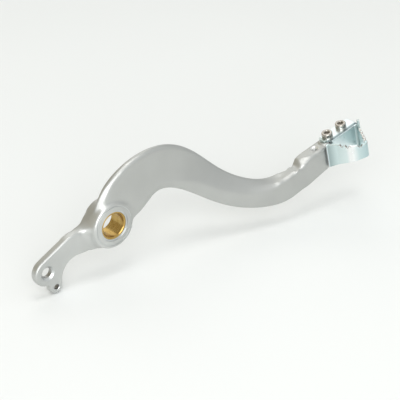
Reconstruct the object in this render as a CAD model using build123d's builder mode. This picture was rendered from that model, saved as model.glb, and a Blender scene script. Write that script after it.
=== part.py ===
# Rear brake pedal of an off-road motorbike: a forged lever that turns on a brass
# bush, with a folded steel step plate screwed to its tip.
#
# Millimetres. The origin is on the pivot axis, half way along the boss.
# +X points forward to the tip, -Y is outboard, +Z is up.

import os
from math import asin, atan2, cos, radians, sin

from build123d import *

os.makedirs("parts", exist_ok=True)

# Pivot boss and its brass bush
boss_diameter = 34.6
boss_length = 16.6
boss_edge_round = 1.0
boss_inner_round = 3.0
bush_diameter = 21.0
bush_bore = 18.0
bush_length = 15.2
bush_mouth_chamfer = 0.5
seal_recess_diameter = 23.5

# Arm: its middle line in the side view, from the boss to the tip bar
arm_start_heading = 58.0
crown_x = 44.0
crown_z = 29.4
slope_x = 83.0
slope_z = 10.0
slope_heading = -40.0
belly_x = 130.0
belly_z = -12.4
belly_heading = -6.0
arm_end_heading = 19.0
face_inset = 1.0

# Arm: depth and width of its section along that line
root_depth = 34.0
arch_depth = 38.8
arch_rise = 1.6
crown_depth = 32.4
slope_depth = 24.6
belly_depth = 21.6
arch_width = 7.0
crown_width = 8.5
arm_width = 12.0
edge_round = 3.4
belly_round = 3.0
ridge_round = 8.0
bar_round = 1.6
corner_cut = 0.12

# Tip bar, with its raised seat for the step plate
seat_x = 161.4
seat_z = 7.2
bar_pitch = 14.0
bar_length = 54.5
bar_width = 11.6
bar_root_depth = 23.4
bar_tip_depth = 16.5
bar_offset = 26.7
seat_rise = 4.5
seat_ramp = 4.6
pad_rise = 1.0
pad_rear = 22.5

# Step screws and their tapped holes
hole_pitch = 14.8
first_hole = 16.2
screw_diameter = 5.0
thread_clearance = 0.05
thread_end_gap = 0.5
drill_point = 1.5
screw_length = 12.0
head_diameter = 8.5
head_height = 3.5
head_round = 0.7
socket_size = 4.0
socket_depth = 2.0

# Rear arm with its eye and its spring lobe
rear_thickness = 6.4
rear_inset = 7.0
rear_edge_round = 1.6
rear_blend = 6.0
rear_corner_round = 8.0
rear_floor_lift = 0.5
eye_x = -53.0
eye_z = -21.4
eye_radius = 10.2
eye_hole = 8.0
eye_chamfer = 1.5
spring_x = -46.2
spring_z = -34.8
spring_radius = 5.5
spring_hole = 4.0
lobe_notch_round = 3.0
rear_crest_x = -33.5
rear_crest_z = 0.3
rear_crest_round = 20.0
rear_throat_round = 14.0
swell_start_x = -39.0
swell_end_x = -24.0

# Step plate: a folded sheet with a flange on the seat and a toothed loop beside the bar.
# Places along the bar count from the start of the seat, and reaches from the bar's side.
sheet = 2.0
fold_radius = 1.0
side_gap = 0.2
flange_rear = 28.1
flange_hole_clearance = 0.25
loop_front = 56.5
nose_along = 41.1
nose_reach = 26.0
shoulder_along = 32.3
shoulder_reach = 19.5
throat_along = 27.5
throat_reach = 7.0
root_along = 22.3
loop_depth = 18.5
loop_bottom_rise = 0.37
loop_fold_radius = 4.0
nose_fold_radius = 2.5
tooth_pitch = 4.4
tooth_depth = 1.8
tooth_land = 1.0
end_tooth_width = 3.0
end_tooth_rise = 6.0
end_tooth_angle = 84.0

# Values worked out from the sizes above
boss_radius = boss_diameter / 2
face_y = -boss_length / 2 + face_inset
recess_depth = (boss_length - bush_length) / 2
bar_outer_y = -bar_offset - bar_width / 2
bar_direction = Vector(cos(radians(bar_pitch)), 0, sin(radians(bar_pitch)))
bar_up = Vector(-sin(radians(bar_pitch)), 0, cos(radians(bar_pitch)))
seat_start = Vector(seat_x, 0, seat_z)
arm_end_depth = bar_root_depth - seat_rise
arm_end = seat_start - bar_up * (seat_rise + arm_end_depth / 2)
hole_places = [first_hole + hole_pitch * number for number in range(3)]
screw_places = hole_places[1:]
hole_depth = screw_length + thread_end_gap
pad_radius = bar_width / 2 - bar_round
pad_front = bar_length - bar_round
flange_top = pad_rise + sheet
rear_outer_y = -boss_length / 2 + rear_inset
wall_y = bar_outer_y - side_gap


def heading(angle):
    """Direction in the side view that rises by an angle."""
    return (cos(radians(angle)), sin(radians(angle)))


def ease(share):
    """Smooth step from 0 to 1."""
    share = min(max(share, 0.0), 1.0)
    return share * share * (3 - 2 * share)


def bar_plane(along):
    """Plane across the tip bar: x is inboard, y is up from the seat."""
    return Plane(origin=seat_start + bar_direction * along, x_dir=(0, 1, 0), z_dir=bar_direction)


def seat_plane(lift=0.0):
    """Plane along the seat: x runs along the bar, y is inboard."""
    return Plane(origin=seat_start + bar_up * lift, x_dir=bar_direction, z_dir=bar_up)


def hole_plane(along, lift):
    """Plane across a screw hole, at a height above the seat: its normal points out of the hole."""
    middle = seat_start + bar_direction * along + bar_up * lift - Vector(0, bar_offset, 0)
    return Plane(origin=middle, x_dir=bar_direction, z_dir=bar_up)


def rounded_section(plane, corners, rounds):
    """Face of a polygon whose corners are rounded, each by its own radius."""
    with BuildSketch(plane) as section:
        with BuildLine():
            FilletPolyline(*corners, radius=rounds, close=True)
        make_face()
    return section.sketch


# The middle line of the arm in the side view
with BuildLine(Plane.XZ) as arm_line:
    Spline(
        (0, 0),
        (crown_x, crown_z),
        (slope_x, slope_z),
        (belly_x, belly_z),
        (arm_end.X, arm_end.Z),
        tangents=[
            heading(arm_start_heading),
            heading(0),
            heading(slope_heading),
            heading(belly_heading),
            heading(arm_end_heading),
        ],
    )
arm_path = arm_line.line

# Sections of the arm. Each has five corners: two at the top, the ridge, two at the bottom.
# The outer face runs from the second top corner to the ridge: it stands upright on the
# arch, lies over on the way down to the belly and is the flat top of the tip bar.
# Columns: place along the line, depth, rise of its middle off the line, width, top as a
# share of the width, ridge as a share of the depth, round at the top, round at the ridge.
arm_stations = [
    (0.00, root_depth, 0, arch_width, 0.82, 0.12, edge_round, edge_round),
    (0.08, arch_depth, arch_rise, arch_width, 0.82, 0.12, edge_round, edge_round),
    (0.18, arch_depth, arch_rise / 2, arch_width, 0.80, 0.12, edge_round, edge_round),
    (0.32, crown_depth, 0, crown_width, 0.68, 0.14, edge_round, edge_round),
    (0.45, (crown_depth + slope_depth) / 2, 0, arm_width, 0.52, 0.26, belly_round, ridge_round),
    (0.58, slope_depth, 0, arm_width, 0.36, 0.44, belly_round, ridge_round),
    (0.72, belly_depth, 0, arm_width, 0.24, 0.62, belly_round, ridge_round),
    (0.86, (belly_depth + arm_end_depth) / 2, 0, arm_width, 0.16, 0.86, bar_round, belly_round),
]


def arm_outer_y(x):
    """Outer side of the arm, which leans outboard from the crown to the tip bar."""
    share = ease((x - crown_x) / (seat_x - crown_x))
    return face_y + (bar_outer_y - face_y) * share


def arm_section(plane, outer, width, top, bottom, top_share, ridge_share, top_round, ridge_radius):
    """Section of the arm between two heights on its plane."""
    inner = outer + width
    cut = corner_cut * width
    top_width = top_share * width
    ridge = bottom + ridge_share * (top - bottom)
    corners = [
        (inner, top - cut * (1 - top_share)),
        (inner - top_width, top),
        (outer, ridge),
        (outer + cut * (1 - ridge_share), bottom),
        (inner, bottom),
    ]
    rounds = [min(top_round, 0.4 * top_width), top_round, ridge_radius, bar_round, bar_round]
    return rounded_section(plane, corners, rounds)


def bar_section(along, top, depth):
    """Section of the tip bar, from a height above the seat down to a depth below it."""
    return arm_section(
        bar_plane(along), bar_outer_y, bar_width, top, -depth, corner_cut, 1.0, bar_round / 2, bar_round
    )


arm_sections = []
for place, depth, rise, width, top_share, ridge_share, top_round, ridge_radius in arm_stations:
    point = arm_path @ place
    across = Plane(origin=(point.X, 0, point.Z), x_dir=(0, 1, 0), z_dir=arm_path % place)
    outer = arm_outer_y(point.X)
    top, bottom = rise + depth / 2, rise - depth / 2
    section = arm_section(
        across, outer, width, top, bottom, top_share, ridge_share, top_round, ridge_radius
    )
    arm_sections.append(section)
arm_sections.append(bar_section(0, -seat_rise, bar_root_depth))

with BuildPart() as arm:
    loft(arm_sections)

with BuildPart() as bar:
    loft([bar_section(0, 0, bar_root_depth), bar_section(bar_length, 0, bar_tip_depth)], ruled=True)

# Ramp from the top of the arm up to the seat
ramp_origin = seat_start + Vector(0, bar_outer_y + side_gap, 0)
with BuildPart() as ramp:
    with BuildSketch(Plane(origin=ramp_origin, x_dir=bar_direction, z_dir=(0, -1, 0))):
        with BuildLine():
            Spline((-seat_ramp, -seat_rise), (0, 0), tangents=[(1, 0), (1, 0)])
            Polyline((0, 0), (0, -2 * seat_rise), (-seat_ramp, -2 * seat_rise), (-seat_ramp, -seat_rise))
        make_face()
    extrude(amount=-(bar_width - 2 * side_gap))
    fillet(ramp.edges().filter_by(GeomType.BSPLINE), bar_round / 2)

# Boss, a turned ring with rounded rims
with BuildPart() as boss:
    with BuildSketch(Plane.XZ):
        Circle(boss_radius)
    extrude(amount=boss_length / 2, both=True)
    outer_rim, inner_rim = boss.edges().filter_by(GeomType.CIRCLE).sort_by(Axis.Y)
    fillet(outer_rim, boss_edge_round)
    fillet(inner_rim, boss_inner_round)

# Outline of the rear arm in the side view, round the boss, the eye and the spring lobe.
# The top edge leaves the eye on a tangent and meets the crest.
crest_from_eye = Vector(rear_crest_x - eye_x, rear_crest_z - eye_z)
top_slope = atan2(crest_from_eye.Y, crest_from_eye.X) - asin(eye_radius / crest_from_eye.length)
eye_top = (eye_x - eye_radius * sin(top_slope), eye_z + eye_radius * cos(top_slope))
rear_floor_z = -boss_radius + rear_floor_lift
throat_x = spring_x + spring_radius
lobe_notch = (eye_x - spring_radius, (eye_z - eye_radius + spring_z) / 2)
rear_corners = [
    ((throat_x, rear_floor_z), rear_throat_round),
    ((rear_crest_x, rear_crest_z), rear_crest_round),
    ((-boss_radius, rear_crest_z), rear_corner_round),
    (lobe_notch, lobe_notch_round),
]
with BuildSketch(Plane.XZ.offset(-rear_outer_y)) as rear_outline:
    with BuildLine():
        Polyline(
            (0, rear_floor_z),
            (throat_x, rear_floor_z),
            (throat_x, spring_z),
            (spring_x, spring_z),
            (eye_x, eye_z),
            eye_top,
            (rear_crest_x, rear_crest_z),
            (0, rear_crest_z),
            close=True,
        )
    make_face()
    Circle(boss_radius - side_gap)
    with Locations((eye_x, eye_z)):
        Circle(eye_radius)
    with Locations((spring_x, spring_z)):
        Circle(spring_radius)
    for corner, corner_round in rear_corners:
        fillet(rear_outline.vertices().sort_by_distance(corner)[0], corner_round)

with BuildPart() as rear_arm:
    extrude(rear_outline.sketch, amount=rear_thickness, dir=(0, 1, 0))
    fillet(rear_arm.edges().filter_by(Plane.XZ), rear_edge_round)

# Towards the boss, the rear arm grows inboard to the boss's inner end, inside its own outline
rear_inner_y = rear_outer_y + rear_thickness
swell_y = boss_length / 2 - boss_edge_round
with BuildSketch(Plane.XZ.offset(-rear_outer_y)) as swell_outline:
    offset(rear_outline.sketch, amount=-rear_edge_round / 2)
with BuildPart() as rear_root:
    with BuildSketch(Plane.XY):
        Polygon(
            (swell_start_x, rear_outer_y + rear_edge_round),
            (swell_start_x, rear_inner_y - rear_edge_round),
            (swell_end_x, swell_y),
            (0, swell_y),
            (0, rear_outer_y + rear_edge_round),
            align=None,
        )
    extrude(amount=boss_diameter, both=True)
    extrude(swell_outline.sketch, amount=boss_length, dir=(0, 1, 0), both=True, mode=Mode.INTERSECT)

# Concave blend between the boss and the outer face of the rear arm
with BuildPart() as rear_fillet:
    with BuildSketch(Plane.XY):
        with BuildLine():
            Polyline(
                (-boss_radius, rear_outer_y - rear_blend),
                (-boss_radius + rear_edge_round, rear_outer_y - rear_blend),
                (-boss_radius + rear_edge_round, rear_outer_y + rear_edge_round),
                (-boss_radius - rear_blend, rear_outer_y + rear_edge_round),
                (-boss_radius - rear_blend, rear_outer_y),
            )
            JernArc((-boss_radius - rear_blend, rear_outer_y), (1, 0), rear_blend, -90)
        make_face()
    revolve(axis=Axis.Y)
    extrude(rear_outline.sketch, amount=boss_length, dir=(0, 1, 0), both=True, mode=Mode.INTERSECT)

with BuildPart() as lever:
    add(arm.part)
    add(bar.part)
    add(ramp.part)
    add(boss.part)
    add(rear_arm.part)
    add(rear_root.part)
    add(rear_fillet.part)
    # Raised pad under the flange, with a round end
    with BuildSketch(seat_plane()):
        with Locations((pad_rear + pad_radius, -bar_offset)):
            Circle(pad_radius)
            Rectangle(pad_front - pad_rear - pad_radius, 2 * pad_radius, align=(Align.MIN, Align.CENTER))
    extrude(amount=pad_rise)
    # Bore for the bush, with a recess at each end
    with BuildSketch(Plane.XZ):
        Circle(bush_diameter / 2)
    extrude(amount=boss_length, both=True, mode=Mode.SUBTRACT)
    for end in (-1, 1):
        with BuildSketch(Plane.XZ.offset(end * boss_length / 2)):
            Circle(seal_recess_diameter / 2)
        extrude(amount=-end * recess_depth, mode=Mode.SUBTRACT)
    # Eye with chamfered mouths, and the spring hole
    with BuildSketch(Plane.XZ.offset(-rear_outer_y)):
        with Locations((eye_x, eye_z)):
            Circle(eye_hole / 2)
        with Locations((spring_x, spring_z)):
            Circle(spring_hole / 2)
    extrude(amount=-rear_thickness, mode=Mode.SUBTRACT)
    eye_edges = lever.edges(Select.LAST).filter_by(GeomType.CIRCLE)
    chamfer(eye_edges.group_by(SortBy.RADIUS)[-1], eye_chamfer)
    # Tapped holes in a row along the seat, each with the cone of its drill's point
    for along in hole_places:
        with BuildSketch(hole_plane(along, pad_rise)):
            Circle(screw_diameter / 2)
        extrude(amount=-hole_depth, mode=Mode.SUBTRACT)
        with Locations(-hole_plane(along, pad_rise - hole_depth)):
            Cone(
                screw_diameter / 2,
                0,
                drill_point,
                align=(Align.CENTER, Align.CENTER, Align.MIN),
                mode=Mode.SUBTRACT,
            )
lever.part.label = "lever"
export_step(lever.part, "parts/lever.step")

# Brass bush, pressed into the boss between the two recesses
with BuildPart() as pivot_bush:
    with BuildSketch(Plane.XZ):
        Circle(bush_diameter / 2)
        Circle(bush_bore / 2, mode=Mode.SUBTRACT)
    extrude(amount=bush_length / 2, both=True)
    mouths = pivot_bush.edges().filter_by(GeomType.CIRCLE).sort_by(SortBy.RADIUS)[:2]
    chamfer(mouths, bush_mouth_chamfer)
pivot_bush.part.label = "pivot_bush"
export_step(pivot_bush.part, "parts/pivot_bush.step")

# Step plate: the loop is a strip that stands on edge. It starts on the bar's side, folds
# outboard at the front, turns back at the nose and ends against the bar's side.
strip_middle = sheet / 2
flange_inner_y = -bar_offset + pad_radius
tooth_gap = [
    (-(tooth_pitch - tooth_land) / 2, 0),
    (-tooth_land / 2, -tooth_depth),
    (tooth_land / 2, -tooth_depth),
    ((tooth_pitch - tooth_land) / 2, 0),
]


def beside_bar(along, reach):
    """Point on the seat plane at a reach outboard of the bar's side."""
    return (along, wall_y - reach)


strip_points = [
    beside_bar(flange_rear, strip_middle),
    beside_bar(loop_front, strip_middle),
    beside_bar(nose_along, nose_reach),
    beside_bar(shoulder_along, shoulder_reach),
    beside_bar(throat_along, throat_reach),
    beside_bar(root_along, strip_middle),
]
strip_folds = [nose_fold_radius, nose_fold_radius, loop_fold_radius, loop_fold_radius]
toothed_walls = list(zip(strip_points[1:4], strip_points[2:5]))


def wall_plane(start, end, share):
    """Plane on a wall of the loop at the level of its top: x runs along the wall, y is up."""
    run = Vector(*end) - Vector(*start)
    along_wall = bar_direction * run.X + Vector(0, run.Y, 0)
    middle = seat_plane(flange_top).from_local_coords(Vector(*start) + run * share)
    return Plane(origin=middle, x_dir=along_wall, z_dir=along_wall.cross(bar_up))


with BuildPart() as step_plate:
    with BuildSketch(seat_plane(-loop_depth)):
        with BuildLine() as strip_line:
            FilletPolyline(*strip_points, radius=strip_folds)
        trace(strip_line.line, sheet)
    extrude(amount=loop_depth + flange_top)
    # The bottom edge rises from the bar out to the nose
    with BuildSketch(bar_plane(root_along - nose_reach)):
        with BuildLine():
            Polyline(
                (wall_y, -loop_depth),
                (wall_y, -loop_depth - sheet),
                (wall_y - 2 * nose_reach, -loop_depth - sheet),
                (wall_y - 2 * nose_reach, -loop_depth + 2 * nose_reach * loop_bottom_rise),
                close=True,
            )
        make_face()
    extrude(amount=2 * loop_front, mode=Mode.SUBTRACT)
    # Teeth along the top of the loop: notches with sloping sides, spaced along each wall
    for start, end in toothed_walls:
        wall_length = (Vector(*end) - Vector(*start)).length
        gaps = int(wall_length / tooth_pitch) - 1
        for number in range(gaps):
            share = 0.5 + (number - (gaps - 1) / 2) * tooth_pitch / wall_length
            with BuildSketch(wall_plane(start, end, share)):
                Polygon(*tooth_gap, align=None)
            extrude(amount=sheet, both=True, mode=Mode.SUBTRACT)
    # Tall tooth at the front corner of the loop
    with BuildSketch(wall_plane(*toothed_walls[0], 0)):
        with Locations((2 * nose_fold_radius, -tooth_depth)):
            Trapezoid(
                end_tooth_width,
                tooth_depth + end_tooth_rise,
                end_tooth_angle,
                align=(Align.CENTER, Align.MIN),
            )
    extrude(amount=sheet / 2, both=True)
    # Flange on the seat, folded down into the wall beside the bar
    with BuildSketch(bar_plane(flange_rear)):
        with BuildLine():
            FilletPolyline(
                (wall_y, pad_rise - 2 * fold_radius),
                (wall_y, pad_rise),
                (flange_inner_y, pad_rise),
                radius=fold_radius,
            )
            FilletPolyline(
                (wall_y - sheet, pad_rise - 2 * fold_radius),
                (wall_y - sheet, flange_top),
                (flange_inner_y, flange_top),
                radius=fold_radius + sheet,
            )
            Line((flange_inner_y, pad_rise), (flange_inner_y, flange_top))
            Line((wall_y, pad_rise - 2 * fold_radius), (wall_y - sheet, pad_rise - 2 * fold_radius))
        make_face()
    extrude(amount=loop_front - flange_rear)
    # The flange ends behind the first screw in a half round, like the pad under it
    with BuildSketch(seat_plane(pad_rise)):
        with Locations((flange_rear, -bar_offset)):
            Circle(pad_radius)
    extrude(amount=sheet)
    # Clearance holes for the screws
    for along in screw_places:
        with BuildSketch(hole_plane(along, flange_top)):
            Circle(screw_diameter / 2 + flange_hole_clearance)
        extrude(amount=-sheet, mode=Mode.SUBTRACT)
step_plate.part.label = "step_plate"
export_step(step_plate.part, "parts/step_plate.step")

# Step screws: socket-head cap screws through the flange into the bar
with BuildPart() as step_screws:
    for along in screw_places:
        under_head = hole_plane(along, flange_top)
        with BuildSketch(under_head):
            Circle(screw_diameter / 2 - thread_clearance)
        extrude(amount=-screw_length)
        with BuildSketch(under_head):
            Circle(head_diameter / 2)
        extrude(amount=head_height)
        rims = step_screws.edges(Select.LAST).filter_by(GeomType.CIRCLE)
        fillet(rims.sort_by_distance(under_head.offset(2 * head_height).origin)[0], head_round)
        with BuildSketch(under_head.offset(head_height)):
            RegularPolygon(socket_size / 2, 6, major_radius=False)
        extrude(amount=-socket_depth, mode=Mode.SUBTRACT)
step_screws.part.label = "step_screws"
export_step(step_screws.part, "parts/step_screws.step")
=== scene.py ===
# %% [markdown]
# # A forged brake pedal, dressed in Blender
# The pedal has four pieces: a forged lever, a brass bush, a folded step plate and two screws.
# Their sizes come from a CAD model, which is loaded here as a fixed frame. Each piece made in this
# lesson takes the place of a CAD piece without moving or growing, so the part still fits.

# %% Load the frame
from math import cos, pi, radians, sin

import bmesh
import bpy
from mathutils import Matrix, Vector


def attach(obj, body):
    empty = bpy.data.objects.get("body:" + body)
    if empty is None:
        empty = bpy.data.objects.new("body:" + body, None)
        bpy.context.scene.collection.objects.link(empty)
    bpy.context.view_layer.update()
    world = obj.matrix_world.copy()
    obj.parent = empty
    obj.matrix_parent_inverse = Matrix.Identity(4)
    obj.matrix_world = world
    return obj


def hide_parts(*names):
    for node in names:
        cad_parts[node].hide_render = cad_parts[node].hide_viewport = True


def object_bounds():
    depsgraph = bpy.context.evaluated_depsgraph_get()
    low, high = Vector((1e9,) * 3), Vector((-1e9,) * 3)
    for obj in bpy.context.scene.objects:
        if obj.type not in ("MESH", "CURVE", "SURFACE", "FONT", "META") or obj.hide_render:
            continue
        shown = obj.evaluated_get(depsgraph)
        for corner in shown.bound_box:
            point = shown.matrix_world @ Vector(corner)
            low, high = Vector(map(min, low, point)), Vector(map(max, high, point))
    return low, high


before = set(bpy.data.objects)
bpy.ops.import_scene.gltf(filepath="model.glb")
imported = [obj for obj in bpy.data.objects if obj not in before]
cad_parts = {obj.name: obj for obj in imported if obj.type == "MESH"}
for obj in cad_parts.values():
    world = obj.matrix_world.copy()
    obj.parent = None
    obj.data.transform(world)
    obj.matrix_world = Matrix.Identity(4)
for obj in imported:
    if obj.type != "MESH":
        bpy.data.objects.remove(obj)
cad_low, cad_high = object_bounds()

scene = bpy.context.scene
mm = 0.001


def in_mm(vector):
    """Coordinates in millimetres, rounded for a printed line."""
    return [round(value / mm, 1) for value in vector]


print("CAD box in mm:", in_mm(cad_low), in_mm(cad_high))

# %% [markdown]
# ## Camera
# The photograph looks down on the pedal from the outboard side. The bore is round, so its ellipse
# in the picture gives the azimuth and the elevation of the view. A camera could be set by eye in
# the viewport, but written angles can be checked. The long lens keeps the lines nearly parallel.

# %% Camera
camera_azimuth, camera_elevation = radians(-40.5), radians(28.0)
camera_place = Vector((-510.9, -698.6, 476.2)) * mm
focal_length_in_frames = 3.5
sensor_width = 36.0
view_start, view_end = 0.05, 20.0


def aimed(name, data, place, backward):
    """Camera or lamp at a place, with its back turned to a direction."""
    made = bpy.data.objects.new(name, data)
    made.location = place
    made.rotation_mode = "QUATERNION"
    made.rotation_quaternion = (-backward).to_track_quat("-Z", "Y")
    scene.collection.objects.link(made)
    return made


camera_data = bpy.data.cameras.new("camera")
camera_data.sensor_width = sensor_width
camera_data.lens = sensor_width * focal_length_in_frames
camera_data.clip_start, camera_data.clip_end = view_start, view_end
back = Vector((
    sin(camera_azimuth) * cos(camera_elevation),
    -cos(camera_azimuth) * cos(camera_elevation),
    sin(camera_elevation),
))
scene.camera = aimed("camera", camera_data, camera_place, back)
scene.view_settings.view_transform = "Standard"
print("camera lens in mm:", round(camera_data.lens, 1))

# %% [markdown]
# ## Floor
# Product pictures are taken on a pale seamless sheet. A curved backdrop would do the same, but the
# camera looks down far enough to see only floor, so one large flat square is all that is needed.
# It lies a little below the lowest point of the pedal.

# %% Floor
floor_drop = 0.3 * mm
floor_half = 6.0


def mesh_object(name, mesh):
    """New object at the origin that shows a mesh."""
    made = bpy.data.objects.new(name, mesh)
    scene.collection.objects.link(made)
    return made


def shape_object(name, shape):
    """Object made from a bmesh, which is freed."""
    mesh = bpy.data.meshes.new(name)
    shape.to_mesh(mesh)
    shape.free()
    return mesh_object(name, mesh)


floor_shape = bmesh.new()
bmesh.ops.create_grid(floor_shape, x_segments=1, y_segments=1, size=floor_half)
floor = shape_object("floor", floor_shape)
floor.location.z = cad_low.z - floor_drop
print("floor at mm:", round(floor.location.z / mm, 2))

# %% [markdown]
# ## Nodes of a finish
# No real surface has one flat colour. A picture could be wrapped round each piece, but a pattern
# worked out by nodes has no seams and needs no file. Each finish below is a few nodes on the
# object's own coordinates: a noise, a colour ramp over it, and a range for the roughness.

# %% Nodes of a finish
noise_low, noise_high = 0.3, 0.7


def new_finish(name, metallic=1.0):
    """Node material with one Principled shader."""
    finish = bpy.data.materials.new(name)
    finish.use_nodes = True
    shader_of(finish)["Metallic"].default_value = metallic
    return finish


def shader_of(finish):
    """Inputs of the finish's Principled shader."""
    return finish.node_tree.nodes["Principled BSDF"].inputs


def joined(owner, from_socket, to_socket):
    """Links two sockets in the node tree of a finish or a sky."""
    owner.node_tree.links.new(from_socket, to_socket)


def object_place(owner):
    """The object's own coordinates."""
    return owner.node_tree.nodes.new("ShaderNodeTexCoord").outputs["Object"]


def noise_of(finish, scale, detail=2.0, stretch=(1, 1, 1)):
    """Noise on the object's own coordinates, drawn out along its axes by stretch."""
    mapping = finish.node_tree.nodes.new("ShaderNodeMapping")
    noise = finish.node_tree.nodes.new("ShaderNodeTexNoise")
    mapping.inputs["Scale"].default_value = stretch
    noise.inputs["Scale"].default_value = scale
    noise.inputs["Detail"].default_value = detail
    joined(finish, object_place(finish), mapping.inputs["Vector"])
    joined(finish, mapping.outputs["Vector"], noise.inputs["Vector"])
    return noise.outputs["Fac"]


def ramp_of(owner, factor, stops):
    """Colour ramp over a factor; stops holds (position, colour) pairs."""
    ramp = owner.node_tree.nodes.new("ShaderNodeValToRGB")
    elements = ramp.color_ramp.elements
    while len(elements) < len(stops):
        elements.new(0.5)
    for element, (position, colour) in zip(elements, stops):
        element.position = position
        element.color = (*colour, 1.0)
    joined(owner, factor, ramp.inputs["Fac"])
    return ramp.outputs["Color"]


def coloured(finish, colour):
    """Gives the shader its colour."""
    joined(finish, colour, shader_of(finish)["Base Color"])


print("a noise counts from", noise_low, "to", noise_high)

# %% [markdown]
# ### Pale floor
# The sheet is matt board, a trace greener than white. Plain white would be simpler, but it would
# burn out under the lamps and swallow the pale edges of the plate. So the tone is held back, and a
# slow noise clouds it just enough to look like board.

# %% Pale floor
floor_finish = new_finish("pale_floor", metallic=0.0)
shader_of(floor_finish)["Roughness"].default_value = 0.6
shader_of(floor_finish)["Specular IOR Level"].default_value = 0.2
floor_tones = [(noise_low, (0.815, 0.829, 0.826)), (noise_high, (0.829, 0.843, 0.840))]
coloured(floor_finish, ramp_of(floor_finish, noise_of(floor_finish, scale=3.0), floor_tones))
floor.data.materials.append(floor_finish)
print("floor finish:", floor.data.materials[0].name)

# %% [markdown]
# ## Lamps
# Metal shows what it reflects, so the places of the lamps matter more than their strength. Small
# lamps would leave hard spots. Large square ones give the long soft highlights of a studio: a key
# lamp near the camera draws the bright edges, and three weak ones fill the other sides.

# %% Lamps
top_tint, back_tint = (1.0, 0.985, 0.96), (1.0, 0.985, 0.95)


def soft_lamp(name, toward, distance, size, power, tint=(1, 1, 1)):
    """Square lamp at a distance along a direction, facing the middle of the pedal."""
    data = bpy.data.lights.new(name, "AREA")
    data.shape = "SQUARE"
    data.size = size
    data.energy = power
    data.color = tint
    direction = Vector(toward).normalized()
    return aimed(name, data, (cad_low + cad_high) / 2 + direction * distance, direction)


soft_lamp("key_lamp", (-0.56, -0.69, 0.44), distance=2.6, size=2.1, power=48.0)
soft_lamp("top_lamp", (-0.09, -0.09, 0.99), distance=1.6, size=0.65, power=5.0, tint=top_tint)
soft_lamp("back_lamp", (0.32, 0.66, 0.68), distance=1.6, size=1.0, power=2.5, tint=back_tint)
soft_lamp("side_lamp", (0.57, -0.52, 0.64), distance=1.5, size=1.8, power=1.7)

# %% [markdown]
# ## Sky
# The walls of a studio are seen only as reflections. A room could be built of planes, but a sky of
# two tones is enough: neutral in front, and dimmer and warmer behind, where it gives the faces
# that look up and back their darker, warmer grey.

# %% Sky


def reach_along(owner, place, direction):
    """Distance of a place along a direction."""
    dot = owner.node_tree.nodes.new("ShaderNodeVectorMath")
    dot.operation = "DOT_PRODUCT"
    dot.inputs[1].default_value = direction
    joined(owner, place, dot.inputs[0])
    return dot.outputs["Value"]


sky_tones = [(0.35, (0.64, 0.66, 0.66)), (0.95, (0.56, 0.52, 0.42))]
warm_side = Vector((-0.55, 0.80, 0.24)).normalized()
sky = bpy.data.worlds.new("studio_sky")
sky.use_nodes = True
scene.world = sky
sky_shade = sky.node_tree.nodes["Background"]
sky_place = sky.node_tree.nodes.new("ShaderNodeTexCoord").outputs["Generated"]
sky_colour = ramp_of(sky, reach_along(sky, sky_place, warm_side), sky_tones)
joined(sky, sky_colour, sky_shade.inputs["Color"])
sky_shade.inputs["Strength"].default_value = 1.0
print("sky tones:", len(sky_tones))

# %% [markdown]
# ## The lever
# ### Grain of a metal
# A cut or blasted metal is rough where its marks are deep, so one noise can set both the roughness
# and a fine bump. On some finishes of this pedal the same noise sets the tone too. The nodes could
# be written out for each finish. The helpers below hold the rule once, so that it is easy to tune.

# %% Grain of a metal
mottle_low, mottle_high = 0.35, 0.65


def ranged(owner, value, start, end, low=0.0, high=1.0):
    """Value brought from the range start to end to the range low to high."""
    spread = owner.node_tree.nodes.new("ShaderNodeMapRange")
    spread.inputs["From Min"].default_value = start
    spread.inputs["From Max"].default_value = end
    spread.inputs["To Min"].default_value = low
    spread.inputs["To Max"].default_value = high
    joined(owner, value, spread.inputs["Value"])
    return spread.outputs["Result"]


def mottled(finish, noise, dark, light):
    """Colour that runs from dark to light over the middle of a noise."""
    return ramp_of(finish, noise, [(mottle_low, dark), (mottle_high, light)])


def grained(finish, noise, smooth, rough, strength, depth):
    """Lets one noise set the roughness and a bump; depth is in millimetres."""
    roughness = ranged(finish, noise, noise_low, noise_high, smooth, rough)
    joined(finish, roughness, shader_of(finish)["Roughness"])
    bump = finish.node_tree.nodes.new("ShaderNodeBump")
    bump.inputs["Strength"].default_value = strength
    bump.inputs["Distance"].default_value = depth * mm
    joined(finish, noise, bump.inputs["Height"])
    joined(finish, bump.outputs["Normal"], shader_of(finish)["Normal"])


def mottled_metal(name, scale, detail, dark, light, **grain):
    """Metal finish in which one noise sets the tone, the roughness and the bump."""
    finish = new_finish(name)
    noise = noise_of(finish, scale, detail)
    coloured(finish, mottled(finish, noise, dark, light))
    grained(finish, noise, **grain)
    return finish


print("a mottle runs from", mottle_low, "to", mottle_high)
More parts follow.
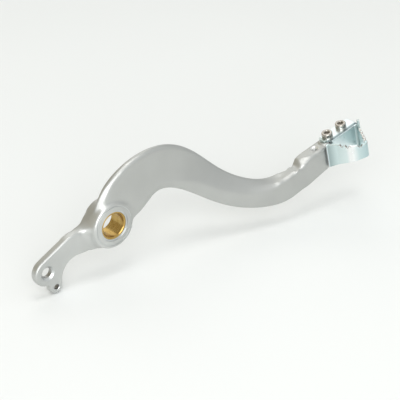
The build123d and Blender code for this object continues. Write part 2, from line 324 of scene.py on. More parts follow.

# %% [markdown]
# ### Satin forging
# The lever is forged aluminium, blasted with fine beads. The beads leave a grain that scatters the
# light, so the metal looks satin. A very fine noise makes the roughness and the bump. A painted
# sheen runs slowly from the rear arm to the front: the rear arm is painted lighter, as a painted
# reflection of the bright floor, and the front darker. A second noise mottles the tone.

# %% Satin forging
# Painted sheen: the rear arm is lighter as a painted reflection of the floor, and it is darker
# towards the front.
painted_sheen_direction = (1.0, 2.5, 0.0)
painted_sheen_start, painted_sheen_end = -58.0 * mm, -12.0 * mm
forging_tones_with_painted_sheen = [
    (0.00, (0.550, 0.560, 0.546)),
    (0.35, (0.600, 0.610, 0.596)),
    (0.61, (0.625, 0.635, 0.620)),
    (1.00, (0.515, 0.522, 0.506)),
]
forging_finish = new_finish("satin_forging")
patches = noise_of(forging_finish, scale=55.0, detail=3.0)
mottle = mottled(forging_finish, patches, (0.98, 0.98, 0.98), (1.02, 1.02, 1.02))
painted_sheen_reach = reach_along(forging_finish, object_place(forging_finish), painted_sheen_direction)
forging_with_painted_sheen = ramp_of(
    forging_finish, ranged(forging_finish, painted_sheen_reach, painted_sheen_start, painted_sheen_end), forging_tones_with_painted_sheen
)
sheen_times_mottle = forging_finish.node_tree.nodes.new("ShaderNodeMix")
sheen_times_mottle.data_type = "RGBA"
sheen_times_mottle.blend_type = "MULTIPLY"
sheen_times_mottle.inputs["Factor"].default_value = 1.0
joined(forging_finish, forging_with_painted_sheen, sheen_times_mottle.inputs["A"])
joined(forging_finish, mottle, sheen_times_mottle.inputs["B"])
coloured(forging_finish, sheen_times_mottle.outputs["Result"])
beads = noise_of(forging_finish, scale=2600.0)
grained(forging_finish, beads, smooth=0.40, rough=0.50, strength=0.25, depth=0.05)
print("forging nodes:", len(forging_finish.node_tree.nodes))

# %% [markdown]
# ### Sizes shared with the CAD model
# The holes are drilled again below, so their sizes are written here once, in millimetres. The seat
# of the step plate is pitched, and a small helper turns a place along the bar into a point of the
# shared frame. Measuring the CAD mesh would work too, but named sizes are easier to follow.

# %% Sizes
boss_radius, boss_length = 17.3, 16.6
bush_radius, bore_radius, bush_length = 10.5, 9.0, 15.2
recess_radius = 11.75
rear_outer_y, rear_thickness = -1.3, 6.4
eye_place, eye_radius, eye_chamfer = (-53.0, -21.4), 4.0, 1.5
spring_place, spring_radius = (-46.2, -34.8), 2.0
seat_start = Vector((161.4, 0.0, 7.2))
bar_pitch, bar_offset = radians(14.0), 26.7
bar_direction = Vector((cos(bar_pitch), 0.0, sin(bar_pitch)))
bar_up = Vector((-sin(bar_pitch), 0.0, cos(bar_pitch)))
hole_places = [16.2, 31.0, 45.8]
screw_radius, hole_depth, drill_point = 2.5, 12.5, 1.5
sheet, pad_rise = 2.0, 1.0
flange_top = pad_rise + sheet
bore_axis = Vector((0, 1, 0))
boss_face = Vector((0, -boss_length / 2, 0))
eye_centre = Vector((eye_place[0], rear_outer_y, eye_place[1]))
spring_centre = Vector((spring_place[0], rear_outer_y, spring_place[1]))
eye_mouth = eye_radius + eye_chamfer


def on_seat(along, lift):
    """Point on the line of the screw holes, in millimetres."""
    return seat_start + bar_direction * along + bar_up * lift - Vector((0, bar_offset, 0))


def hole_top(along):
    """Height of a hole's mouth: the free hole is beside the pad, and the others go through it."""
    return 0.0 if along == hole_places[0] else pad_rise


print("free hole at", [round(value, 2) for value in on_seat(hole_places[0], 0)])

# %% [markdown]
# ### Turned bodies
# Plugs, drills and screws are round about an axis. Blender's Spin tool could turn a profile, but
# here the rings of points are set directly: that keeps the faces closed and lets each band of a
# drill carry its own finish.

# %% Turned bodies
turn_steps = 64


def turned_rings(shape, profile, origin, axis, steps):
    """Rings of points, one for each (radius, height) pair of a profile along an axis, in mm."""
    turn = axis.to_track_quat("Z", "Y").to_matrix()
    rings = []
    for radius, height in profile:
        ring = []
        for number in range(steps if radius > 0 else 1):
            angle = 2 * pi * number / steps
            local = Vector((radius * cos(angle), radius * sin(angle), height))
            ring.append(shape.verts.new((origin + turn @ local) * mm))
        rings.append(ring)
    return rings


def add_turned(shape, profile, origin, axis, steps=turn_steps, finishes=()):
    """Adds a closed turned body; finishes holds the materials of its bands, from the first on."""
    rings = turned_rings(shape, profile, origin, axis, steps)
    for band, (low, high) in enumerate(zip(rings, rings[1:])):
        for number in range(steps):
            after = (number + 1) % steps
            if len(low) == 1:
                corners = [low[0], high[after], high[number]]
            elif len(high) == 1:
                corners = [low[number], low[after], high[0]]
            else:
                corners = [low[number], low[after], high[after], high[number]]
            face = shape.faces.new(corners)
            face.material_index = finishes[band] if band < len(finishes) else 0
    for ring, turned in ((rings[0], True), (rings[-1], False)):
        if len(ring) > 1:
            shape.faces.new(reversed(ring) if turned else ring)


print("steps of a turn:", turn_steps)

# %% [markdown]
# ### Rounded copies
# Modifiers could stay on the pieces, but a plain mesh is what the export wants. So each copy is
# taken from the evaluated object, with its modifiers applied, and the source is deleted. A CAD mesh
# comes as loose triangles, which are merged before anything else.

# %% Rounded copies
relax_factor = 0.5
merge_distance = 0.002 * mm


def discard(made):
    """Deletes an object and its mesh."""
    mesh = made.data
    bpy.data.objects.remove(made)
    bpy.data.meshes.remove(mesh)


def evaluated_copy(source, name):
    """Plain mesh of an object with its modifiers applied; the source is deleted."""
    graph = bpy.context.evaluated_depsgraph_get()
    mesh = bpy.data.meshes.new_from_object(source.evaluated_get(graph))
    mesh.name = name
    discard(source)
    return mesh_object(name, mesh)


def merged_copy(node):
    """Mesh of a CAD node with its loose triangles joined."""
    shape = bmesh.new()
    shape.from_mesh(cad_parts[node].data)
    bmesh.ops.remove_doubles(shape, verts=shape.verts, dist=merge_distance)
    return shape


def rounded_copy(blank, name, voxel, rounds):
    """Blank remeshed on a grid of voxels and relaxed."""
    grid = blank.modifiers.new("grid", "REMESH")
    grid.mode = "VOXEL"
    grid.voxel_size = voxel
    relax = blank.modifiers.new("relax", "SMOOTH")
    relax.factor = relax_factor
    relax.iterations = rounds
    return evaluated_copy(blank, name)


print("triangles closer than mm are merged:", merge_distance / mm)

# %% [markdown]
# ### Forged skin
# A forging has no sharp inner corners: the metal flows from the boss into both arms. The CAD solids
# meet in plain creases. A Bevel modifier struggles where curved bodies cross, so a copy of the
# lever is closed at its holes, remeshed on a fine grid of voxels and relaxed, which rounds every
# edge a little, as forging and blasting do.

# %% Forged skin
lever_voxel, lever_rounds = 0.55 * mm, 8
face_margin = 0.01
plug_margin = 0.2


def add_plug(shape, radius, low, high, origin, axis):
    """Adds a plain cylinder, a little wider than the hole that it fills."""
    wide = radius + plug_margin
    add_turned(shape, [(wide, low), (wide, high)], origin, axis)


forged = merged_copy("lever")
add_plug(forged, recess_radius, face_margin, boss_length - face_margin, boss_face, bore_axis)
add_plug(forged, eye_mouth, 0, rear_thickness, eye_centre, bore_axis)
add_plug(forged, spring_radius, 0, rear_thickness, spring_centre, bore_axis)
for along in hole_places:
    deep = pad_rise - hole_depth - drill_point
    add_plug(forged, screw_radius, deep, hole_top(along), on_seat(along, 0), bar_up)
skin = rounded_copy(shape_object("forged_blank", forged), "forged_skin", lever_voxel, lever_rounds)
print("forged faces:", len(skin.data.polygons))

# %% [markdown]
# ### Bevel of the seat's corner
# The seat for the step plate starts as a plain step. On the real lever its outer corner is dressed
# to a wide bevel that catches the light. A cut would leave crisp edges. Instead, points of the skin
# outside a slanted plane are brought back to it, less and less away from the middle of the bevel.

# %% Bevel of the seat's corner


def bevel(normal, place, core, reach):
    """Presses the skin to a plane, fully within core of a place and not beyond reach, in mm."""
    normal = normal.normalized()
    count = 0
    for vertex in skin.data.vertices:
        point = vertex.co / mm
        far = (point - place).length
        if far > reach:
            continue
        outside = (point - place).dot(normal)
        fade = min((reach - far) / (reach - core), 1.0)
        if outside > 0:
            vertex.co -= normal * outside * fade * mm
            count += 1
    return count


def beside_seat(along, across, lift):
    """Point near the seat, at a distance inboard of the bar's middle, in millimetres."""
    return on_seat(along, lift) + Vector((0, across, 0))


pressed = bevel(Vector((-0.44, -0.44, 0.78)), beside_seat(-0.6, -0.5, -0.8), core=6.0, reach=14.0)
print("points of the seat's bevel:", pressed)

# %% [markdown]
# ### Dressed edge of the arch
# The rear edge of the arch is dressed too. Near the boss the bevel takes most of the edge, and it
# narrows up to the crown. One plane can't follow a curve, so the edge is given as points in the
# side view, each with the width of the bevel there, and the skin is pressed to it point by point.

# %% Dressed edge of the arch
face_y = -7.3
edge_line = [
    (-14.3, 9.5, 5.0),
    (-12.2, 15.1, 5.2),
    (-10.6, 19.1, 5.0),
    (-8.6, 23.0, 4.6),
    (-5.6, 27.3, 4.0),
    (-2.2, 31.0, 3.4),
    (2.5, 35.0, 2.8),
    (8.7, 39.0, 2.0),
]
edge_x_end, edge_y_end = 10, 0.5
edge_z_start, edge_z_end = 8, 40
boss_clear = 1.2


def nearest_edge(flat):
    """Outward side and width of the bevel at the nearest point of the edge, and depth inside it."""
    best = None
    for (x0, z0, width0), (x1, z1, width1) in zip(edge_line, edge_line[1:]):
        start = Vector((x0, z0))
        run = Vector((x1, z1)) - start
        share = min(max((flat - start).dot(run) / run.length_squared, 0.0), 1.0)
        off = flat - start - run * share
        if best is None or off.length < best[0]:
            side = Vector((-run.y, run.x)).normalized()
            best = (off.length, side, width0 + (width1 - width0) * share, -off.dot(side))
    return best[1:]


dressed_points = 0
for vertex in skin.data.vertices:
    point = vertex.co / mm
    if not (point.x < edge_x_end and edge_z_start < point.z < edge_z_end and point.y < edge_y_end):
        continue
    flat = Vector((point.x, point.z))
    side, width, depth = nearest_edge(flat)
    outside = width - depth - (point.y - face_y)
    clear = min(max((flat.length - boss_radius) / boss_clear, 0.0), 1.0)
    if outside > 0 and depth < width and clear > 0:
        shift = outside / 2 * clear
        vertex.co += Vector((-side.x * shift, shift, -side.y * shift)) * mm
        dressed_points += 1
print("points of the dressed edge:", dressed_points)

# %% [markdown]
# ### Web between boss and rear arm
# In the inner corner between the rear arm and the boss the forging carries a web of metal. It could
# be one more solid, but then it would need blends of its own. Here the upper points of the skin in
# that corner are lifted to a slanted plane, less and less towards the outer side.

# %% Web between boss and rear arm
web_normal, web_offset = Vector((-0.584, 0.0, 0.811)), 15.1
web_x_start, web_x_end = -27, -14
web_z_start, web_z_end = -2, 9
web_y_start, web_fade = -7, 14
web_facing = 0.2
skin.data.update()
web_points = 0
for vertex in skin.data.vertices:
    point = vertex.co / mm
    inside = web_x_start < point.x < web_x_end and web_z_start < point.z < web_z_end
    if not (inside and point.y > web_y_start):
        continue
    gap = web_offset - point.dot(web_normal)
    if gap > 0 and vertex.normal.dot(web_normal) > web_facing:
        vertex.co += web_normal * gap * min((point.y - web_y_start) / web_fade, 1.0) * mm
        web_points += 1
print("points of the web:", web_points)

# %% [markdown]
# ### Pushed places
# Two edges of the forging stand a little higher than the plain solids: the top of the rear arm next
# to the web, and the upper edge of the arm below the seat. A sculpting brush would push them up by
# hand. This is the same push in a few lines, so that it comes out alike each time.

# %% Pushed places


def push(start, end, direction, reach):
    """Moves the skin by a direction along a line, fading over reach, in millimetres."""
    run = end - start
    count = 0
    for vertex in skin.data.vertices:
        off = vertex.co / mm - start
        share = min(max(off.dot(run) / run.length_squared, 0.0), 1.0)
        far = (off - run * share).length / reach
        if far < 1:
            vertex.co += direction * (1 - far * far) ** 2 * mm
            count += 1
    return count


arm_lift, edge_lift = Vector((-0.3, 0, 0.9)), Vector((0, 0, 1.3))
arm_push = push(Vector((-25, 6.5, 0.5)), Vector((-33, 6, -4)), arm_lift, reach=6.0)
edge_push = push(Vector((141.6, -30.0, -5.0)), Vector((153.6, -31.0, -0.9)), edge_lift, reach=6.0)
edge_side, edge_middle = Vector((-0.325, -0.467, 0.822)), Vector((147.9, -30.7, -2.5))
edge_bevel = bevel(edge_side, edge_middle, core=6.0, reach=9.5)
print("pushed points:", arm_push, edge_push, "and beveled:", edge_bevel)

# %% [markdown]
# ### Weights for the blends
# The grid rounds all edges alike, but a forging has wider blends where two bodies meet. Their places
# could be painted by hand in weight paint. Here a weight is worked out from a point's distance to a
# line or to the foot of the boss's ring, and a longer relaxing works only where it is above 0.

# %% Weights for the blends
weight_gain = 1.6
ring_foot, ring_reach = 18.3, 4.0
ring_y_end, ring_slope = -4, -0.35


def near_places(places):
    """Weight from 1 to 0 over the reach of each place: (start, end, reach) in millimetres."""
    def weight(point):
        best = 0.0
        for start, end, reach in places:
            run = end - start
            share = 0.0 if run.length == 0 else (point - start).dot(run) / run.length_squared
            nearest = start + run * min(max(share, 0.0), 1.0)
            best = max(best, 1 - (point - nearest).length / reach)
        return min(best * weight_gain, 1.0)
    return weight


def near_ring(point):
    """Weight near the foot of the boss's ring, on the side of the arch."""
    if point.y > ring_y_end or point.z < ring_slope * point.x:
        return 0.0
    off = abs(Vector((point.x, point.z)).length - ring_foot)
    return min(max((1 - off / ring_reach) * weight_gain, 0.0), 1.0)


def relaxed(source, name, weight, rounds):
    """Copy of a skin, relaxed where a weight of the point in millimetres is above 0."""
    group = source.vertex_groups.new(name="relax")
    for vertex in source.data.vertices:
        amount = weight(vertex.co / mm)
        if amount > 0:
            group.add([vertex.index], amount, "REPLACE")
    modifier = source.modifiers.new("relax", "SMOOTH")
    modifier.factor = relax_factor
    modifier.iterations = rounds
    modifier.vertex_group = group.name
    made = evaluated_copy(source, name)
    made.vertex_groups.clear()
    return made


print("foot of the boss's ring at mm:", ring_foot)

# %% [markdown]
# ### Wide blends
# The wide blends of this lever lie between the arm and the boss, along the root of the rear arm,
# along the dressed edge and up the ramp to the seat. Fillets in the CAD model would end in seams
# there. Each list holds lines with a reach, and the number of rounds sets how soft the blend is.

# %% Wide blends
boss_places = [
    (Vector((17, -6, 6)), Vector((17, -6, 6)), 9.0),
    (Vector((-21, 0, 1)), Vector((-24, 6, 0)), 7.0),
    (Vector((-15.5, 6, 8)), Vector((-26, 6, 0)), 5.0),
    (Vector((-20, -3, -6)), Vector((-20, -3, -6)), 11.0),
]
edge_places = [
    (Vector((-16.2, -6.8, 5)), Vector((-14.5, -6.0, 10)), 4.5),
    (Vector((-17.0, -7.6, 4)), Vector((-16.0, -7.6, -7)), 4.0),
    (Vector((-14.5, -7.5, 9)), Vector((-8.5, -7.5, 15.5)), 5.0),
    (Vector((-14.5, -5.5, 10)), Vector((-10.5, -5.5, 17)), 7.0),
    (Vector((-10.5, -5.5, 17)), Vector((-5.5, -5.5, 24)), 6.0),
    (Vector((-5.5, -5.5, 24)), Vector((5, -6, 36)), 5.0),
    (Vector((135, -28.0, -5.4)), Vector((141, -29.5, -4.4)), 5.0),
    (Vector((141, -29.5, -4.4)), Vector((153, -30.8, -0.4)), 3.5),
]
ramp_places = [
    (beside_seat(-3, -6, -2.5), beside_seat(-1, 5, -2.5), 6.5),
    (beside_seat(-2, -6, -1), beside_seat(12, -6, -1), 4.5),
    (beside_seat(-14, 5, -5), beside_seat(-4, 5, -4), 5.0),
    (Vector((158.5, -22.5, 1)), Vector((161, -22.5, -15)), 5.5),
]
skin = relaxed(skin, "ring_blend", near_ring, rounds=50)
skin = relaxed(skin, "boss_blends", near_places(boss_places), rounds=100)
skin = relaxed(skin, "arch_edge", near_places(edge_places), rounds=50)
lever = relaxed(skin, "forged_lever", near_places(ramp_places), rounds=110)
print("forged lever faces:", len(lever.data.polygons))

# %% [markdown]
# ## Machining
# ### Machined faces
# After forging, the boss is faced and the mouths of the holes are countersunk. A cutter leaves a
# clean bright face with fine marks. Rings of marks could be drawn, but at this size only a slight
# unevenness of the gloss can be seen, so one fine noise is enough.

# %% Machined faces
machined_finish = mottled_metal(
    "machined_faces", 900.0, 3.0, (0.58, 0.595, 0.59), (0.62, 0.635, 0.63),
    smooth=0.34, rough=0.44, strength=0.15, depth=0.03,
)
print("finish:", machined_finish.name)

# %% [markdown]
# ### Painted shade in the holes
# The walls of the eye and of the spring hole are painted dark, as painted shade inside the holes:
# in such short holes the light alone wouldn't darken them, so the finish carries the shade.

# %% Drilled walls
hole_shade_finish = mottled_metal(
    "hole_walls_painted_shade", 700.0, 3.0, (0.33, 0.33, 0.32), (0.39, 0.39, 0.38),
    smooth=0.34, rough=0.46, strength=0.2, depth=0.04,
)
print("finish:", hole_shade_finish.name)

# %% [markdown]
# ### Fresh threads
# A tap cuts bare metal last of all, after the blasting, so the thread is the brightest place of the
# lever. Its ridges are made as geometry further below, and this finish only has to be light and
# fairly smooth, to throw the light back out of the hole.

# %% Fresh threads
tapped_finish = mottled_metal(
    "fresh_threads", 900.0, 2.0, (0.87, 0.875, 0.86), (0.93, 0.935, 0.92),
    smooth=0.30, rough=0.42, strength=0.15, depth=0.03,
)
print("finish:", tapped_finish.name)

# %% [markdown]
# ### Drills for the boss
# The bore is drilled through for the bush, with a wider recess at each end, and a lathe leaves a
# fine groove on the boss's face. The groove's tool is a ring, which closes its profile on itself.
# All tools are gathered in one cutter, because one Boolean on a dense mesh is safer than many.

# %% Drills for the boss
ring_steps, bore_steps = 128, 128
over = 2.0
recess_depth = (boss_length - bush_length) / 2
groove_inner, groove_outer, groove_depth = 14.7, 15.3, 0.35
bore_profile = [
    (recess_radius, -over),
    (recess_radius, recess_depth),
    (bush_radius, recess_depth),
    (bush_radius, boss_length - recess_depth),
    (recess_radius, boss_length - recess_depth),
    (recess_radius, boss_length + over),
]
groove_profile = [
    (groove_inner, -over),
    (groove_inner, groove_depth),
    (groove_outer, groove_depth),
    (groove_outer, -over),
]


def add_ring(shape, profile, origin, axis, steps=ring_steps):
    """Adds a turned ring whose section has the corners of the profile."""
    rings = turned_rings(shape, profile, origin, axis, steps)
    for low, high in zip(rings, rings[1:] + rings[:1]):
        for number in range(steps):
            after = (number + 1) % steps
            shape.faces.new([low[number], low[after], high[after], high[number]])


drills = bmesh.new()
add_turned(drills, bore_profile, boss_face, bore_axis, bore_steps)
add_ring(drills, groove_profile, boss_face, bore_axis)
print("faces of the boss's drills:", len(drills.faces))

# %% [markdown]
# ### Drills for the arms
# The eye takes a pin and the small hole the hook of a spring. Both are countersunk from both sides,
# so one profile serves them. The three holes on the seat are blind: they end in the cone of the
# drill's point, and their walls get the finish of fresh threads.

# %% Drills for the arms
spring_chamfer, hole_chamfer = 0.4, 0.7
eye_steps, spring_steps = 96, 64
machined, drilled, tapped = 0, 1, 2
for radius, chamfer, centre, steps in (
    (eye_radius, eye_chamfer, eye_centre, eye_steps),
    (spring_radius, spring_chamfer, spring_centre, spring_steps),
):
    countersunk = [
        (radius + chamfer + over, -over),
        (radius, chamfer),
        (radius, rear_thickness - chamfer),
        (radius + chamfer + over, rear_thickness + over),
    ]
    # The middle band, the wall of each hole, takes the painted shade of the holes.
    add_turned(drills, countersunk, centre, bore_axis, steps, (machined, drilled, machined))
for along in hole_places:
    blind = [
        (0, pad_rise - hole_depth - drill_point),
        (screw_radius, pad_rise - hole_depth),
        (screw_radius, hole_top(along) - hole_chamfer),
        (screw_radius + hole_chamfer + over, hole_top(along) + over),
    ]
    add_turned(drills, blind, on_seat(along, 0), bar_up, finishes=(machined, tapped, tapped))
print("faces of all drills:", len(drills.faces))

# %% [markdown]
# ### Drilled lever
# The Boolean takes the drills away from the forging and carries their finishes over to the new
# walls. Modelling the holes into the skin would have lost them in the remeshing: cut last, their
# edges stay crisp, as on the real lever.

# %% Drilled lever
lever_crease = radians(32)


def outward_object(name, shape):
    """Object made from a bmesh whose faces are all turned outwards."""
    bmesh.ops.recalc_face_normals(shape, faces=shape.faces)
    return shape_object(name, shape)


def cut_copy(blank, cutter, name, use_self=False, material_mode="INDEX"):
    """Blank less a cutter; both of them are deleted."""
    cut = blank.modifiers.new("cut", "BOOLEAN")
    cut.operation = "DIFFERENCE"
    cut.solver = "EXACT"
    cut.use_self = use_self
    cut.material_mode = material_mode
    cut.object = cutter
    made = evaluated_copy(blank, name)
    discard(cutter)
    return made


cutter = outward_object("hole_cutter", drills)
for finish in (machined_finish, hole_shade_finish, tapped_finish):
    cutter.data.materials.append(finish)
lever.data.materials.append(forging_finish)
lever = cut_copy(lever, cutter, "forged_lever", material_mode="TRANSFER")
lever.data.shade_smooth()
lever.data.set_sharp_from_angle(angle=lever_crease)
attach(lever, "root")
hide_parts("lever")
print("lever faces:", len(lever.data.polygons), [m.name for m in lever.data.materials])

# %% [markdown]
# ## The bush
# ### Turned brass
# The bush is a brass sleeve that the pedal turns on. A lathe leaves fine rings round its bore, so
# the noise is drawn out: slow across the bore and quick along its axis. A Wave texture would make
# rings too, but they would be too even for a turned face.

# %% Turned brass
ring_stretch = (0.02, 6.0, 0.02)
brass_finish = new_finish("turned_brass")
patches = noise_of(brass_finish, scale=300.0, detail=3.0)
coloured(brass_finish, mottled(brass_finish, patches, (0.44, 0.285, 0.085), (0.53, 0.365, 0.13)))
rings = noise_of(brass_finish, scale=500.0, stretch=ring_stretch)
grained(brass_finish, rings, smooth=0.20, rough=0.32, strength=0.2, depth=0.03)
print("brass nodes:", len(brass_finish.node_tree.nodes))

# %% [markdown]
# ### Brass bush
# A plain sleeve could stay as the CAD model has it. It is turned again here with finer steps, and
# its mouths are broken by small chamfers, which catch the light as two thin rings.

# %% Brass bush
bush_chamfer, bush_edge = 0.5, 0.2
bush_crease = radians(25)
half_bush = bush_length / 2
bush_profile = [
    (bore_radius + bush_chamfer, -half_bush),
    (bush_radius - bush_edge, -half_bush),
    (bush_radius, -half_bush + bush_edge),
    (bush_radius, half_bush - bush_edge),
    (bush_radius - bush_edge, half_bush),
    (bore_radius + bush_chamfer, half_bush),
    (bore_radius, half_bush - bush_chamfer),
    (bore_radius, -half_bush + bush_chamfer),
]
bush_shape = bmesh.new()
add_ring(bush_shape, bush_profile, Vector(), bore_axis)
bush = outward_object("turned_bush", bush_shape)
bush.data.materials.append(brass_finish)
bush.data.shade_smooth()
bush.data.set_sharp_from_angle(angle=bush_crease)
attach(bush, "root")
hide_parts("pivot_bush")
print("bush faces:", len(bush.data.polygons))

# %% [markdown]
# ## The step plate
# ### Bright zinc
# The plate is plated with zinc under a thin bluish film. Over that tone, a ramp across the plate
# paints light and dark bands where its walls turn: a near-white painted highlight at the fold of the
# near wall, and painted reflections and shade in the darker bands. A faint spangle breaks up the
# gloss.

# %% Bright zinc
painted_band_start, painted_band_end = -22.5 * mm, -58.7 * mm
spangle_scale = 260.0
# Bands of painted highlight, reflection and shade over the zinc's own bluish tone.
zinc_tones_with_painted_bands = [
    (0.00, (0.80, 0.88, 0.90)),
    (0.23, (0.78, 0.86, 0.88)),
    (0.28, (0.23, 0.30, 0.32)),
    (0.31, (0.23, 0.30, 0.32)),
    (0.33, (0.76, 0.86, 0.88)),
    (0.342, (0.76, 0.86, 0.88)),
    (0.35, (0.36, 0.45, 0.45)),
    (0.50, (0.68, 0.80, 0.80)),
    (0.69, (0.78, 0.88, 0.88)),
    (0.755, (0.97, 0.985, 0.985)),
    (0.83, (0.97, 0.985, 0.985)),
    (0.91, (0.62, 0.75, 0.76)),
    (1.00, (0.50, 0.64, 0.66)),
]
zinc_finish = new_finish("bright_zinc")
painted_band_reach = reach_along(zinc_finish, object_place(zinc_finish), bore_axis)
zinc_with_painted_bands = ramp_of(zinc_finish, ranged(zinc_finish, painted_band_reach, painted_band_start, painted_band_end), zinc_tones_with_painted_bands)
coloured(zinc_finish, zinc_with_painted_bands)
spangle = noise_of(zinc_finish, spangle_scale)
grained(zinc_finish, spangle, smooth=0.27, rough=0.35, strength=0.05, depth=0.05)
print("film tones:", len(zinc_tones_with_painted_bands))

# %% [markdown]
# ### Painted dark reflection on the zinc
# Behind the first screw the zinc is painted darker and greener, as a painted reflection of the dark
# bar on the flange's end. It has the same spangle as the bright part. A mask in the first finish
# could fade it in, but a finish of its own keeps each face on just one plain material.

# %% Painted dark reflection on the zinc
painted_dark_finish = mottled_metal(
    "painted_dark_zinc", spangle_scale, 2.0, (0.45, 0.52, 0.50), (0.53, 0.60, 0.58),
    smooth=0.34, rough=0.42, strength=0.05, depth=0.05,
)
print("finish:", painted_dark_finish.name)

# %% [markdown]
# ### Painted shade in the notches
# The notches between the teeth are sheared. Their faces are painted grey and brown, as painted
# shade inside the notches along the upper edge. A coarse noise with a strong bump breaks up the
# edge in the same way all round.

# %% Painted shade in the notches
notch_shade_finish = mottled_metal(
    "notch_shade_edges", 600.0, 3.0, (0.30, 0.27, 0.24), (0.48, 0.47, 0.45),
    smooth=0.40, rough=0.55, strength=0.3, depth=0.05,
)
print("finish:", notch_shade_finish.name)

# %% [markdown]
# ### Folded plate
# The plate is stamped and folded from 2 mm sheet and then plated. Stamping leaves slightly rounded
# edges. A Bevel modifier would stumble over the small teeth, so the CAD plate is remeshed finely
# and relaxed a little.

# %% Folded plate
plate_voxel, plate_rounds = 0.28 * mm, 7
plate_blank = shape_object("plate_blank", merged_copy("step_plate"))
plate = rounded_copy(plate_blank, "folded_plate", plate_voxel, plate_rounds)
print("plate faces:", len(plate.data.polygons))

# %% [markdown]
# ### Finishes of the plate's faces
# Most of the plate is bright zinc. Painted shade goes on the faces of the notches that look
# slantwise up, and a painted dark reflection on the part of the flange behind the first screw. They
# could be picked by hand in edit mode, but a rule on the place and the slope of a face still holds
# when the mesh changes.

# %% Finishes of the plate's faces
bright, notch_shade, painted_dark = 0, 1, 2
notch_depth, notch_outboard = 2.2, 36.5
notch_facing_low, notch_facing_high = 0.25, 0.9
painted_dark_end, painted_dark_outboard = 26.8, 30.8
plate.data.materials.clear()
for finish in (zinc_finish, notch_shade_finish, painted_dark_finish):
    plate.data.materials.append(finish)
face_counts = [0, 0, 0]
for face in plate.data.polygons:
    place = face.center / mm - seat_start
    outboard = -face.center.y / mm
    in_notch = place.dot(bar_up) > flange_top - notch_depth and outboard > notch_outboard
    kind = bright
    # Painted shade on the notch faces that look slantwise up.
    if in_notch and notch_facing_low < face.normal.dot(bar_up) < notch_facing_high:
        kind = notch_shade
    # Painted dark reflection on the flange's end behind the first screw.
    if place.dot(bar_direction) < painted_dark_end and outboard < painted_dark_outboard:
        kind = painted_dark
    face.material_index = kind
    face_counts[kind] += 1
plate.data.shade_smooth()
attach(plate, "root")
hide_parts("step_plate")
print("bright, sheared and dull faces:", face_counts)

# %% [markdown]
# ## The screws
# ### Polished steel
# The cap screws are polished steel, a little warm in tone. A perfect mirror would be simpler, but it
# looks like glass. Polishing leaves the faintest marks, so the noise is very fine and the roughness
# low, and the heads reflect the room almost clearly.

# %% Polished steel
steel_finish = new_finish("polished_steel")
patches = noise_of(steel_finish, scale=400.0)
coloured(steel_finish, mottled(steel_finish, patches, (0.43, 0.40, 0.36), (0.51, 0.48, 0.44)))
polish = noise_of(steel_finish, scale=1500.0)
grained(steel_finish, polish, smooth=0.18, rough=0.28, strength=0.1, depth=0.02)
print("steel nodes:", len(steel_finish.node_tree.nodes))

# %% [markdown]
# ### One screw
# A cap screw has a round head on a round shank. The CAD screw could be copied, but its head has a
# sharp edge. A real head has a rounded rim, which carries most of its highlight, so head and shank
# are turned again in one profile. Only one screw is made: copies of it are set further below.

# %% One screw
head_radius, head_height, head_round = 4.25, 3.5, 0.7
head_edge, rim_steps = 0.2, 6
shank_radius, shank_chamfer, screw_length = 2.45, 0.5, 12.0
head_steps = 72
upright = Vector((0, 0, 1))
rim = []
for number in range(rim_steps, -1, -1):
    angle = pi / 2 * number / rim_steps
    rim.append((
        head_radius - head_round * (1 - sin(angle)),
        head_height - head_round * (1 - cos(angle)),
    ))
screw_profile = [
    (shank_radius - shank_chamfer, -screw_length),
    (shank_radius, -screw_length + shank_chamfer),
    (shank_radius, 0),
    (head_radius - head_edge, 0),
    (head_radius, head_edge),
    *rim,
]
screw_shape = bmesh.new()
add_turned(screw_shape, screw_profile, Vector(), upright, head_steps)
screw_blank = outward_object("screw_blank", screw_shape)
print("faces of the turned screw:", len(screw_blank.data.polygons))

# %% [markdown]
# ### Hexagon socket
# A punch presses the hexagon into the head and leaves a small cone at its bottom. A turned body of
# six steps has just that form, and a second cone cuts the chamfer at the mouth. Pushing faces in by
# hand would give the hexagon too, but not the chamfer round its corners.

# %% Hexagon socket
socket_size, socket_depth, socket_chamfer = 4.0, 2.0, 0.25
socket_point, socket_floor_share, socket_over = 0.5, 0.9, 1
hexagon = 6
screw_crease = radians(30)
socket_radius = socket_size / 2 / cos(pi / hexagon)
socket_floor = head_height - socket_depth
socket_profile = [
    (0, socket_floor - socket_point),
    (socket_radius * socket_floor_share, socket_floor),
    (socket_radius, socket_floor),
    (socket_radius, head_height + socket_over),
]
chamfer_profile = [
    (0, head_height - socket_radius - socket_chamfer),
    (socket_radius + socket_chamfer + socket_over, head_height + socket_over),
]
socket_shape = bmesh.new()
add_turned(socket_shape, socket_profile, Vector(), upright, hexagon)
add_turned(socket_shape, chamfer_profile, Vector(), upright, head_steps)
socket_cutter = outward_object("socket_cutter", socket_shape)
screw = cut_copy(screw_blank, socket_cutter, "cap_screw", use_self=True)
screw.data.shade_smooth()
screw.data.set_sharp_from_angle(angle=screw_crease)
print("screw faces:", len(screw.data.polygons))

# %% [markdown]
# ### Trees of Geometry Nodes
# Copies could be placed one by one, but a tree of nodes holds the rule itself: where a row starts,
# how far the next copy is, and how many there are. These helpers build a tree with named inputs, end
# it by making its instances real and setting the finish, and keep the result as a plain mesh.

# %% Trees of Geometry Nodes


def new_tree(name, sockets):
    """Tree with named inputs; returns it with the outputs of its input node."""
    tree = bpy.data.node_groups.new(name, "GeometryNodeTree")
    for label, kind in sockets:
        tree.interface.new_socket(label, in_out="INPUT", socket_type="NodeSocket" + kind)
    tree.interface.new_socket("Geometry", in_out="OUTPUT", socket_type="NodeSocketGeometry")
    return tree, tree.nodes.new("NodeGroupInput").outputs


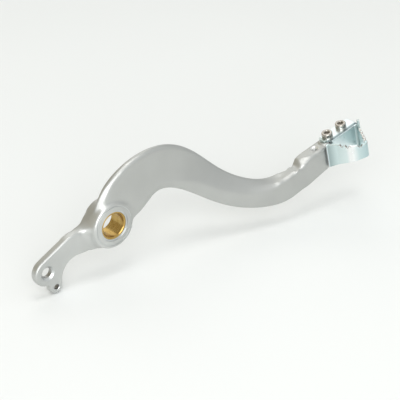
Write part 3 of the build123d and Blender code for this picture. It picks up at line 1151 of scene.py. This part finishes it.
def tree_node(tree, kind, **inputs):
    """New node in a tree; a keyword links an output or sets a value on the input of that name."""
    node = tree.nodes.new(kind)
    for name, value in inputs.items():
        socket = node.inputs[name.replace("_", " ")]
        if isinstance(value, bpy.types.NodeSocket):
            tree.links.new(value, socket)
        else:
            socket.default_value = value
    return node


def close_tree(tree, geometry, finish):
    """Makes the instances real, sets the finish and leads the result out of the tree."""
    real = tree_node(tree, "GeometryNodeRealizeInstances", Geometry=geometry).outputs["Geometry"]
    dressed = tree_node(tree, "GeometryNodeSetMaterial", Geometry=real, Material=finish)
    out = tree.nodes.new("NodeGroupOutput")
    tree.links.new(dressed.outputs["Geometry"], out.inputs["Geometry"])


def grown_object(name, tree, values):
    """Plain mesh that a tree makes from values for its named inputs."""
    made = mesh_object(name, bpy.data.meshes.new(name))
    modifier = made.modifiers.new("tree", "NODES")
    modifier.node_group = tree
    for item in tree.interface.items_tree:
        if item.in_out == "INPUT":
            modifier[item.identifier] = values[item.name]
    return evaluated_copy(made, name)


print("trees so far:", len(bpy.data.node_groups))

# %% [markdown]
# ### Screws on the seat
# Two equal screws hold the plate. An Array modifier could repeat the screw, but it can't place the
# first one. The tree draws a line of points along the seat, from the second hole on, and sets a
# screw on each of them, tipped with the pitch of the bar.

# %% Screws on the seat
seat_turn = Vector((0, -bar_pitch, 0))
row_tree, given = new_tree("screw_row", (
    ("Screw", "Object"),
    ("Start", "Vector"),
    ("Step", "Vector"),
    ("Count", "Int"),
    ("Turn", "Vector"),
    ("Finish", "Material"),
))
line = tree_node(
    row_tree,
    "GeometryNodeMeshLine",
    Count=given["Count"],
    Start_Location=given["Start"],
    Offset=given["Step"],
)
part = tree_node(row_tree, "GeometryNodeObjectInfo", Object=given["Screw"])
euler = tree_node(row_tree, "FunctionNodeEulerToRotation", Euler=given["Turn"])
row = tree_node(
    row_tree,
    "GeometryNodeInstanceOnPoints",
    Points=line.outputs["Mesh"],
    Instance=part.outputs["Geometry"],
    Rotation=euler.outputs["Rotation"],
)
close_tree(row_tree, row.outputs["Instances"], given["Finish"])
screws = grown_object("seat_screws", row_tree, {
    "Screw": screw,
    "Start": on_seat(hole_places[1], flange_top) * mm,
    "Step": bar_direction * (hole_places[2] - hole_places[1]) * mm,
    "Count": 2,
    "Turn": seat_turn,
    "Finish": steel_finish,
})
discard(screw)
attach(screws, "root")
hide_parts("step_screws")
print("screws faces:", len(screws.data.polygons))

# %% [markdown]
# ## The thread in the free hole
# The third hole is free for another setting of the plate, so its thread shows. A tap leaves a fine
# spiral ridge, and its upper flanks throw light out of the hole. A bump would stay flat at the rim
# of the hole, so a second tree draws a spiral and runs a small round section along it.

# %% Thread
thread_pitch, thread_start, thread_turns = 0.8, -0.9, 9.0
thread_sink, thread_ridge = 0.08, 0.36
spiral_steps, section_steps = 40, 6
thread_tree, given = new_tree("thread", (
    ("Radius", "Float"),
    ("Height", "Float"),
    ("Turns", "Float"),
    ("Ridge", "Float"),
    ("Place", "Vector"),
    ("Turn", "Vector"),
    ("Finish", "Material"),
))
spiral = tree_node(
    thread_tree,
    "GeometryNodeCurveSpiral",
    Resolution=spiral_steps,
    Rotations=given["Turns"],
    Start_Radius=given["Radius"],
    End_Radius=given["Radius"],
    Height=given["Height"],
)
section = tree_node(
    thread_tree,
    "GeometryNodeCurvePrimitiveCircle",
    Resolution=section_steps,
    Radius=given["Ridge"],
)
ridge = tree_node(
    thread_tree,
    "GeometryNodeCurveToMesh",
    Curve=spiral.outputs["Curve"],
    Profile_Curve=section.outputs["Curve"],
    Fill_Caps=True,
)
moved = tree_node(
    thread_tree,
    "GeometryNodeTransform",
    Geometry=ridge.outputs["Mesh"],
    Translation=given["Place"],
    Rotation=given["Turn"],
)
close_tree(thread_tree, moved.outputs["Geometry"], given["Finish"])
thread_height = thread_turns * thread_pitch
thread = grown_object("tapped_thread", thread_tree, {
    "Radius": (screw_radius + thread_sink) * mm,
    "Height": thread_height * mm,
    "Turns": thread_turns,
    "Ridge": thread_ridge * mm,
    "Place": on_seat(hole_places[0], thread_start - thread_height) * mm,
    "Turn": seat_turn,
    "Finish": tapped_finish,
})
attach(thread, "root")
print("thread faces:", len(thread.data.polygons), [m.name for m in thread.data.materials])
